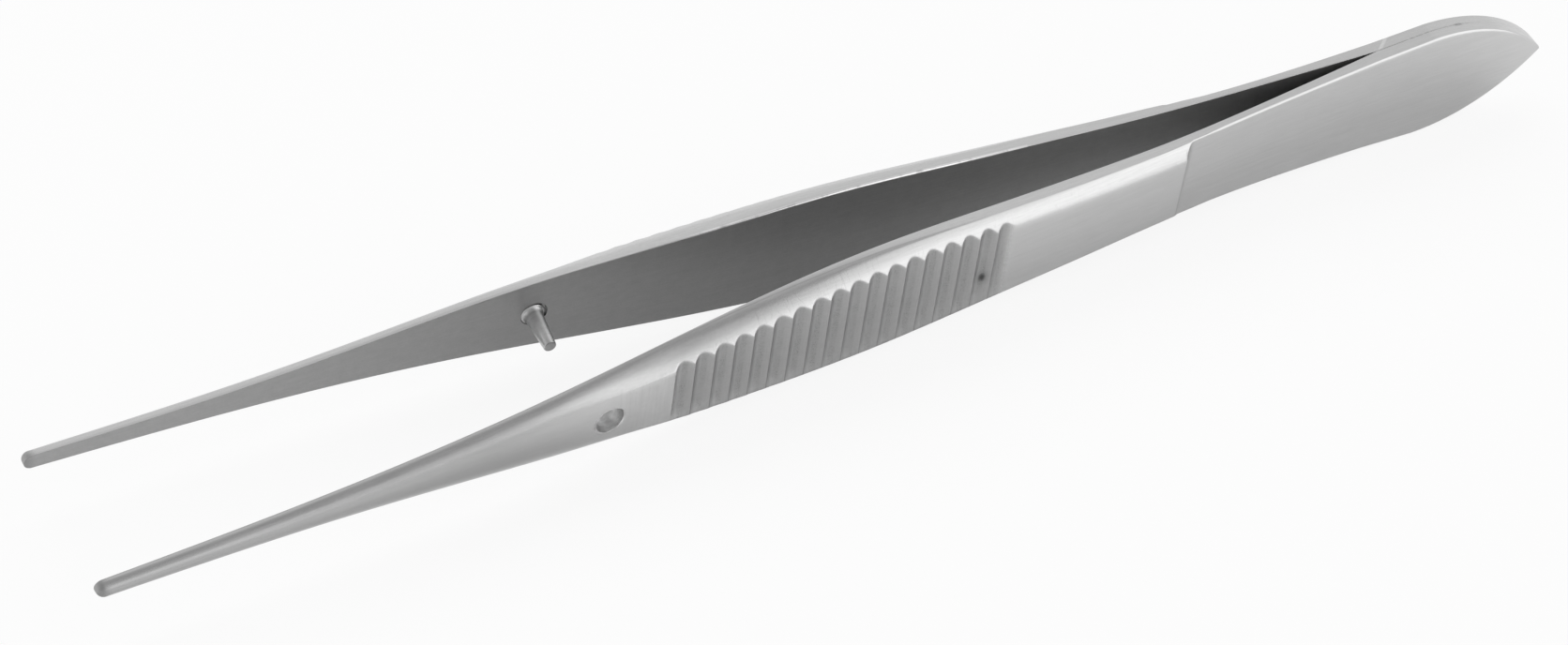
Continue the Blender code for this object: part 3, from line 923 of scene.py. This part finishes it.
def carry_readings(arm, side):
    """Stores on the mesh, in millimetres, the height over the inner face and the way in from the
    side face, and how far a point belongs to the milled grip."""
    mesh = arm.data
    count = len(mesh.vertices)
    points = np.empty(count * 3)
    mesh.vertices.foreach_get("co", points)
    points = points.reshape(count, 3)
    along = np.linspace(0.0, TIP, READING_STEPS + 1)
    station = points[:, 0] + TIP / 2

    def at_point(value):
        return np.interp(station, along, np.array([value(s) for s in along]))

    level = side * points[:, 1] - at_point(inner_offset)
    inward = at_point(half_width) - np.abs(points[:, 2] - MIDDLE_HEIGHT)
    floor = at_point(lambda s: thickness(s) - groove_depth(s))
    on_floor = np.clip((level - floor) / EDGE_ROUND + FLOOR_SEEP, 0.0, 1.0)

    def within_grip(s):
        from_tail = ease(s, GRIP_START, GRIP_START + GRIP_FADE_TAIL)
        return from_tail * (1 - ease(s, GRIP_END - GRIP_FADE_TIPS, GRIP_END))

    in_grip = at_point(within_grip)
    for name, value in (("level", level / MM), ("inward", inward / MM), ("grip", on_floor * in_grip)):
        mesh.attributes.new(name, "FLOAT", "POINT").data.foreach_set("value", value)


def dress(piece, node, material, sharp_angle):
    """Gives a piece its finish and its node's place in the frame."""
    piece.data.materials.clear()
    piece.data.materials.append(material)
    piece.data.shade_smooth()
    piece.data.set_sharp_from_angle(angle=math.radians(sharp_angle))
    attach(piece, "root")
    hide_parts(node)


def make_forceps():
    near = loft_arm("near_arm", 1)
    drill_guide_hole(near)
    carry_readings(near, 1)
    dress(near, "arm_with_hole", near_arm_steel(), ARM_SHARP_ANGLE)
    far = loft_arm("far_arm", -1)
    cut_pin_seat(far)
    carry_readings(far, -1)
    dress(far, "arm_with_pin", far_arm_steel(), ARM_SHARP_ANGLE)
    dress(turn_guide_pin(), "guide_pin", turned_steel("turned_pin_steel"), PIN_SHARP_ANGLE)


# Studio
CAMERA_PLACE = Vector((0.13901, 0.19247, 0.25243))
CAMERA_RIGHT = Vector((-0.8727, 0.4770, 0.1045))
CAMERA_DOWN = Vector((0.2904, 0.6791, -0.6742))
CAMERA_FORWARD = Vector((-0.3926, -0.5580, -0.7311))
LENS = 115.8
SENSOR = 36.0
PHOTO_WIDTH = 1672
SHIFT_X = -7.51 / PHOTO_WIDTH
SHIFT_Y = 5.3 / PHOTO_WIDTH
CLIP_START = 0.01
CLIP_END = 20.0
FLOOR_SIZE = 6.0

# Softboxes: name, place, the way it faces, width, height, brightness, mirrored in the steel
SOFTBOXES = (
    ("tail_softbox", (-0.9, 1.5, 1.31), (1.0, 0.0, 0.0), 2.7, 2.6, 0.56, True),
    ("back_softbox", (0.0, -0.65, 0.85), (0.0, 0.65, -0.85), 1.3, 0.8, 1.60, False),
)
# Brightness of the room as the camera sees it, as the steel mirrors its walls and the darker
# patch over the table, and as it fills the floor's shadows
ROOM_SEEN = 1.0
ROOM_WALLS = 0.74
ROOM_PATCH = 0.35
PATCH_PLACE = (0.25, 0.20, 0.95)
PATCH_EDGE = (0.42, 0.84)
ROOM_FILL = 0.60
FLOOR_SEEN = 0.88
FLOOR_MIRRORED = 0.05
FLOOR_COLOUR = (0.85, 0.85, 0.85, 1.0)
FLOOR_ROUGHNESS = 0.9
FLOOR_SHEEN = 0.1


def place_camera():
    camera = bpy.data.objects.new("camera", bpy.data.cameras.new("camera"))
    bpy.context.scene.collection.objects.link(camera)
    turned = Matrix((CAMERA_RIGHT, -CAMERA_DOWN, -CAMERA_FORWARD)).transposed()
    camera.matrix_world = Matrix.Translation(CAMERA_PLACE) @ turned.to_4x4()
    camera.data.lens = LENS
    camera.data.sensor_width = SENSOR
    camera.data.shift_x = SHIFT_X
    camera.data.shift_y = SHIFT_Y
    camera.data.clip_start = CLIP_START
    camera.data.clip_end = CLIP_END
    bpy.context.scene.camera = camera


def hang_softbox(name, place, facing, width, height, brightness, mirrored):
    """A soft light of an even brightness. One that isn't mirrored only fills the floor's shadows."""
    light = bpy.data.lights.new(name, "AREA")
    light.shape = "RECTANGLE"
    light.size = width
    light.size_y = height
    light.energy = brightness * math.pi * width * height
    box = bpy.data.objects.new(name, light)
    bpy.context.scene.collection.objects.link(box)
    back = -Vector(facing).normalized()
    across = Vector((0.0, 0.0, 1.0)).cross(back).normalized()
    turned = Matrix((across, back.cross(across), back)).transposed()
    box.matrix_world = Matrix.Translation(Vector(place)) @ turned.to_4x4()
    box.visible_glossy = mirrored


def light_room():
    world = bpy.data.worlds.new("studio_room")
    world.use_nodes = True
    room = Finish.on_tree(world.node_tree)
    background = world.node_tree.nodes["Background"]
    background.inputs["Color"].default_value = (1.0, 1.0, 1.0, 1.0)
    camera_ray = room.add("ShaderNodeLightPath", output="Is Camera Ray")
    mirror_ray = room.add("ShaderNodeLightPath", output="Is Glossy Ray")
    place = room.add("ShaderNodeTexCoord", output="Generated")
    ends = {0: place, 1: PATCH_PLACE}
    towards = room.add("ShaderNodeVectorMath", {"operation": "DOT_PRODUCT"}, ends, "Value")
    mirrored = ROOM_WALLS + room.rise(towards, *PATCH_EDGE) * (ROOM_PATCH - ROOM_WALLS)
    strength = ROOM_FILL + mirror_ray * (mirrored - ROOM_FILL)
    room.feed(background.inputs["Strength"], strength + camera_ray * (ROOM_SEEN - strength))
    bpy.context.scene.world = world


def lay_floor():
    shape = bmesh.new()
    bmesh.ops.create_grid(shape, x_segments=1, y_segments=1, size=FLOOR_SIZE / 2)
    floor = make_piece("studio_floor", shape)
    pale = Finish("pale_floor")
    pale.shader.inputs["Base Color"].default_value = FLOOR_COLOUR
    pale.shader.inputs["Roughness"].default_value = FLOOR_ROUGHNESS
    pale.shader.inputs["Specular IOR Level"].default_value = FLOOR_SHEEN
    camera_ray = pale.add("ShaderNodeLightPath", output="Is Camera Ray")
    mirror_ray = pale.add("ShaderNodeLightPath", output="Is Glossy Ray")
    own = Wire(pale, pale.shader.outputs["BSDF"])
    glow = pale.add("ShaderNodeEmission")
    share = camera_ray * FLOOR_SEEN + mirror_ray * FLOOR_MIRRORED
    both = pale.add("ShaderNodeMixShader", None, {0: share, 1: own, 2: glow})
    pale.feed(pale.tree.nodes["Material Output"].inputs["Surface"], both)
    floor.data.materials.append(pale.material)


make_forceps()
place_camera()
for softbox in SOFTBOXES:
    hang_softbox(*softbox)
light_room()
lay_floor()
bpy.context.scene.view_settings.view_transform = "Standard"
